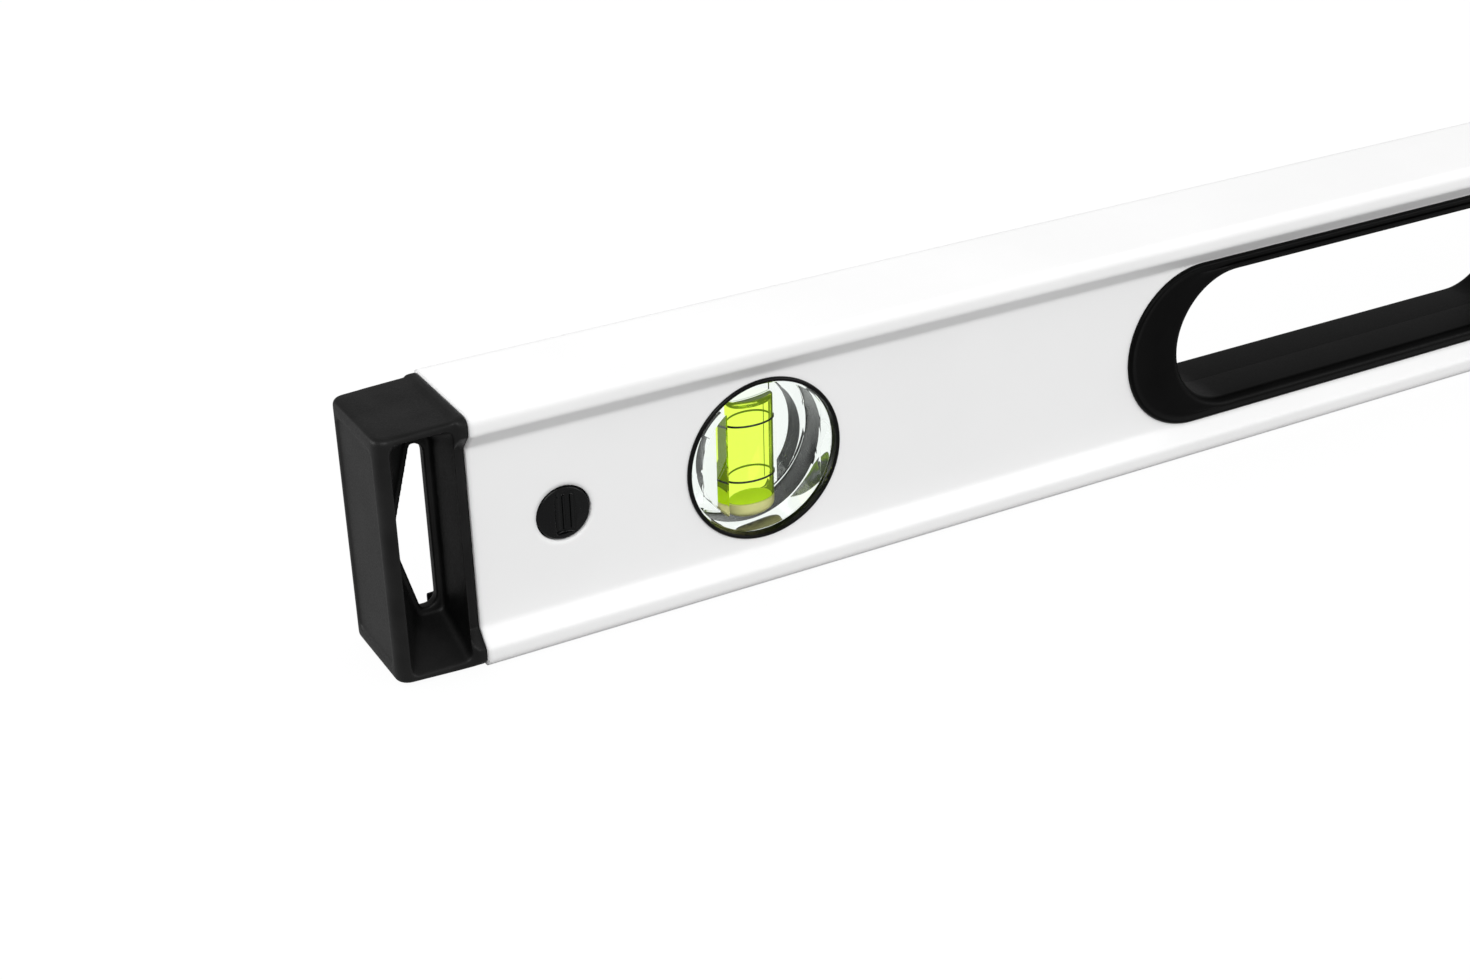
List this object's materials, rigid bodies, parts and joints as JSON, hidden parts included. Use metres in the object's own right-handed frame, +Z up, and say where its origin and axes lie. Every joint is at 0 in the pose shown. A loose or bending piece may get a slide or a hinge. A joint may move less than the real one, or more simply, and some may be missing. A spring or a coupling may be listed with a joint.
{
  "type": "digital spirit level",
  "caption": "Box-section spirit level with plumb vials, a centre vial, hand holes, a digital readout module and pull-off rubber end caps with release buttons.",
  "frame": {"origin": "middle of the lower measuring face", "axes": "+X along the level, -Y towards the side with the release buttons and the display, +Z up to the upper measuring face"},
  "size_m": [1, 0.03, 0.06],
  "materials": {
    "powder_coat": "satin white powder coat on aluminium",
    "cap_rubber": "matte moulded",
    "nylon": "matte moulded",
    "button_plastic": "semi-gloss moulded",
    "grip_plastic": "satin moulded",
    "bezel_plastic": "semi-gloss moulded",
    "acrylic": "polished clear",
    "vial_liquid": "clear dyed liquid",
    "ring_mark": "matte",
    "stopper": "matte moulded",
    "housing": "fine moulded grain",
    "seal": "matte",
    "display": "reflective liquid crystal",
    "board": "solder mask",
    "key_rubber": "matte silicone",
    "cell_sleeve": "printed sleeve",
    "contact_metal": "nickel plated"
  },
  "bodies": {
    "level": {"beam": "powder_coat", "grip_front_left": "grip_plastic", "grip_back_left": "grip_plastic", "plumb_bezel_front_left": "bezel_plastic", "plumb_bezel_back_left": "bezel_plastic", "plumb_block_left": "acrylic", "plumb_liquid_left": "vial_liquid", "plumb_rings_left": "ring_mark", "plumb_stopper_left": "stopper", "grip_front_right": "grip_plastic", "grip_back_right": "grip_plastic", "plumb_bezel_front_right": "bezel_plastic", "plumb_bezel_back_right": "bezel_plastic", "plumb_block_right": "acrylic", "plumb_liquid_right": "vial_liquid", "plumb_rings_right": "ring_mark", "plumb_stopper_right": "stopper", "level_block": "acrylic", "level_liquid": "vial_liquid", "level_rings": "ring_mark", "level_stopper": "stopper", "level_carrier": "bezel_plastic", "level_bezel_front": "bezel_plastic", "level_bezel_back": "bezel_plastic", "level_lens": "acrylic", "module_front": "housing", "module_back": "housing", "module_seal": "seal", "display_window": "acrylic", "display_panel": "display", "circuit_board": "board", "tilt_sensor": "housing", "buzzer": "housing", "key_mat": "key_rubber", "battery_upper": "cell_sleeve", "battery_lower": "cell_sleeve", "contact_springs": "contact_metal", "contact_plates": "contact_metal", "module_screws": "contact_metal"},
    "left_cap": {"end_cap_left": "cap_rubber", "cap_plug_left": "nylon"},
    "left_latch": {"release_latch_left": "button_plastic"},
    "right_cap": {"end_cap_right": "cap_rubber", "cap_plug_right": "nylon"},
    "right_latch": {"release_latch_right": "button_plastic"},
    "power_key": {"key_power": "key_rubber"},
    "zero_key": {"key_zero": "key_rubber"},
    "hold_key": {"key_hold": "key_rubber"},
    "unit_key": {"key_unit": "key_rubber"},
    "door": {"battery_door": "housing"}
  },
  "joints": [
    {"name": "left_cap_slide", "type": "slide", "parent": "level", "child": "left_cap", "axis": [-1, 0, 0], "range_m": [0, 0.046], "deforming": ["release_latch_left"]},
    {"name": "left_latch_press", "type": "hinge", "parent": "left_cap", "child": "left_latch", "pos_m": [-0.4368, -0.00835, 0.0306], "axis": [0, 0, -1], "range_deg": [0, 6.5], "stiffness_Nm_per_rad": 0.6},
    {"name": "right_cap_slide", "type": "slide", "parent": "level", "child": "right_cap", "axis": [1, 0, 0], "range_m": [0, 0.046], "deforming": ["release_latch_right"]},
    {"name": "right_latch_press", "type": "hinge", "parent": "right_cap", "child": "right_latch", "pos_m": [0.4368, -0.00835, 0.0306], "axis": [0, 0, 1], "range_deg": [0, 6.5], "stiffness_Nm_per_rad": 0.6},
    {"name": "power_key_press", "type": "slide", "parent": "level", "child": "power_key", "axis": [0, 1, 0], "range_m": [0, 0.0006], "stiffness_N_per_m": 1200, "deforming": ["key_mat"]},
    {"name": "zero_key_press", "type": "slide", "parent": "level", "child": "zero_key", "axis": [0, 1, 0], "range_m": [0, 0.0006], "stiffness_N_per_m": 1200, "deforming": ["key_mat"]},
    {"name": "hold_key_press", "type": "slide", "parent": "level", "child": "hold_key", "axis": [0, 1, 0], "range_m": [0, 0.0006], "stiffness_N_per_m": 1200, "deforming": ["key_mat"]},
    {"name": "unit_key_press", "type": "slide", "parent": "level", "child": "unit_key", "axis": [0, 1, 0], "range_m": [0, 0.0006], "stiffness_N_per_m": 1200, "deforming": ["key_mat"]},
    {"name": "battery_door_hinge", "type": "hinge", "parent": "level", "child": "door", "pos_m": [0.084, 0.0112, 0.017], "axis": [-1, 0, 0], "range_deg": [0, 110]}
  ]
}
